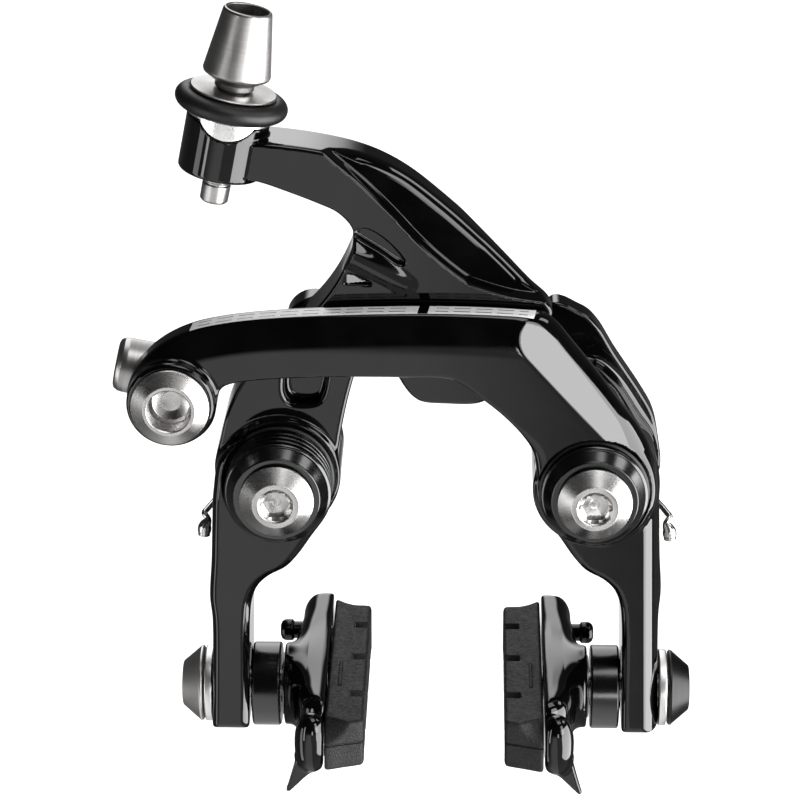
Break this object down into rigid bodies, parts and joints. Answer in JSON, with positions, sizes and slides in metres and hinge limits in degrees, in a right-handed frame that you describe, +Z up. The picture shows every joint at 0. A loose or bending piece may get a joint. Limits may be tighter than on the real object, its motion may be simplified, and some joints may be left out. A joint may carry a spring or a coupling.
{
  "type": "direct-mount rim brake caliper",
  "caption": "Dual-pivot direct-mount road rim brake caliper with gloss black arms, turned steel fasteners, cable adjuster and brake shoes.",
  "frame": {"origin": "midway between the two mounting bolts, on the plane where the pivot bushes meet the fork", "axes": "+X right as seen from the front, +Y into the fork, +Z up"},
  "size_m": [0.1162, 0.0596, 0.1541],
  "materials": {
    "arm_paint": "deep gloss black lacquer over forged aluminium",
    "cap_anodised": "black anodised, turned, satin",
    "turned_steel": "bright turned stainless with fine concentric tool marks",
    "hard_steel": "ground bearing steel",
    "spring_wire": "plated spring wire",
    "rubber": "matt black rubber",
    "pad_compound": "dark grey moulded brake compound, fine grain",
    "bronze": "sintered bronze"
  },
  "bodies": {
    "mount": {"mount_bolt_left": "turned_steel", "mount_bolt_right": "turned_steel", "pivot_bush_left": "hard_steel", "pivot_bush_right": "hard_steel", "bearing_cap_left": "cap_anodised", "bearing_cap_right": "cap_anodised", "dust_seal_left": "rubber", "dust_seal_right": "rubber", "return_spring_left": "spring_wire", "return_spring_right": "spring_wire"},
    "rear_arm_body": {"rear_arm": "arm_paint", "front_bearing_left": "hard_steel", "rear_bearing_left": "hard_steel", "centring_screw": "turned_steel", "adjuster_index_ring": "turned_steel"},
    "adjuster_dial": {"adjuster_nut": "turned_steel", "adjuster_grip_ring": "rubber"},
    "adjuster_stem": {"adjuster_barrel": "turned_steel"},
    "front_arm_body": {"front_arm": "arm_paint", "front_bearing_right": "hard_steel", "rear_bearing_right": "hard_steel", "link_pin": "hard_steel", "link_roller": "bronze"},
    "anchor_swivel": {"cable_anchor_barrel": "turned_steel", "cable_clamp_shoe": "hard_steel"},
    "clamp_screw": {"cable_clamp_screw": "turned_steel"},
    "pad_carrier_left": {"pad_spacer_left": "cap_anodised", "pad_washer_left": "turned_steel"},
    "pad_toe_left": {"pad_nut_left": "turned_steel", "convex_washer_left": "hard_steel"},
    "pad_holder_body_left": {"pad_bolt_left": "turned_steel", "pad_holder_left": "arm_paint", "pad_retaining_screw_left": "turned_steel"},
    "pad_insert_left": {"brake_pad_left": "pad_compound"},
    "pad_carrier_right": {"pad_spacer_right": "cap_anodised", "pad_washer_right": "turned_steel"},
    "pad_toe_right": {"pad_nut_right": "turned_steel", "convex_washer_right": "hard_steel"},
    "pad_holder_body_right": {"pad_bolt_right": "turned_steel", "pad_holder_right": "arm_paint", "pad_retaining_screw_right": "turned_steel"},
    "pad_insert_right": {"brake_pad_right": "pad_compound"}
  },
  "joints": [
    {"name": "front_arm_pivot", "type": "hinge", "parent": "mount", "child": "front_arm_body", "pos_m": [0.031, 0, 0], "axis": [0, 1, 0], "range_deg": [0, 6], "stiffness_Nm_per_rad": 0.6, "springref_deg": -5.73},
    {"name": "rear_arm_pivot", "type": "hinge", "parent": "mount", "child": "rear_arm_body", "pos_m": [-0.031, 0, 0], "axis": [0, -1, 0], "range_deg": [0, 6], "stiffness_Nm_per_rad": 0.6, "springref_deg": -5.73},
    {"name": "adjuster_turn", "type": "hinge", "parent": "rear_arm_body", "child": "adjuster_dial", "pos_m": [-0.0436, -0.013, 0.055], "axis": [0.1908, 0, 0.9816], "range_deg": [0, 1350]},
    {"name": "adjuster_travel", "type": "slide", "parent": "rear_arm_body", "child": "adjuster_stem", "axis": [0.1908, 0, 0.9816], "range_m": [0, 0.00375]},
    {"name": "anchor_turn", "type": "hinge", "parent": "front_arm_body", "child": "anchor_swivel", "pos_m": [-0.0515, -0.013, 0.0187], "axis": [0, 1, 0], "range_deg": [-12, 12]},
    {"name": "clamp_screw_travel", "type": "slide", "parent": "anchor_swivel", "child": "clamp_screw", "axis": [-0.9816, 0, 0.1908], "range_m": [0, 0.0025]},
    {"name": "pad_height_left", "type": "slide", "parent": "rear_arm_body", "child": "pad_carrier_left", "axis": [0, 0, 1], "range_m": [-0.0015, 0.0045]},
    {"name": "pad_toe_in_left", "type": "hinge", "parent": "pad_carrier_left", "child": "pad_toe_left", "pos_m": [-0.0415, -0.015, -0.0484], "axis": [0, 0, 1], "range_deg": [-2, 2]},
    {"name": "pad_pitch_left", "type": "hinge", "parent": "pad_toe_left", "child": "pad_holder_body_left", "pos_m": [-0.0344, -0.015, -0.0484], "axis": [1, 0, 0], "range_deg": [-8, 8]},
    {"name": "pad_slide_left", "type": "slide", "parent": "pad_holder_body_left", "child": "pad_insert_left", "axis": [0, 1, 0], "range_m": [0, 0.056]},
    {"name": "pad_height_right", "type": "slide", "parent": "front_arm_body", "child": "pad_carrier_right", "axis": [0, 0, 1], "range_m": [-0.0015, 0.0045]},
    {"name": "pad_toe_in_right", "type": "hinge", "parent": "pad_carrier_right", "child": "pad_toe_right", "pos_m": [0.0415, -0.015, -0.0484], "axis": [0, 0, 1], "range_deg": [-2, 2]},
    {"name": "pad_pitch_right", "type": "hinge", "parent": "pad_toe_right", "child": "pad_holder_body_right", "pos_m": [0.0344, -0.015, -0.0484], "axis": [1, 0, 0], "range_deg": [-8, 8]},
    {"name": "pad_slide_right", "type": "slide", "parent": "pad_holder_body_right", "child": "pad_insert_right", "axis": [0, 1, 0], "range_m": [0, 0.056]}
  ],
  "couplings": [
    {"joint": "rear_arm_pivot", "follows": "front_arm_pivot", "ratio": 1},
    {"joint": "adjuster_turn", "follows": "adjuster_travel", "rad_per_m": 6283.2}
  ]
}
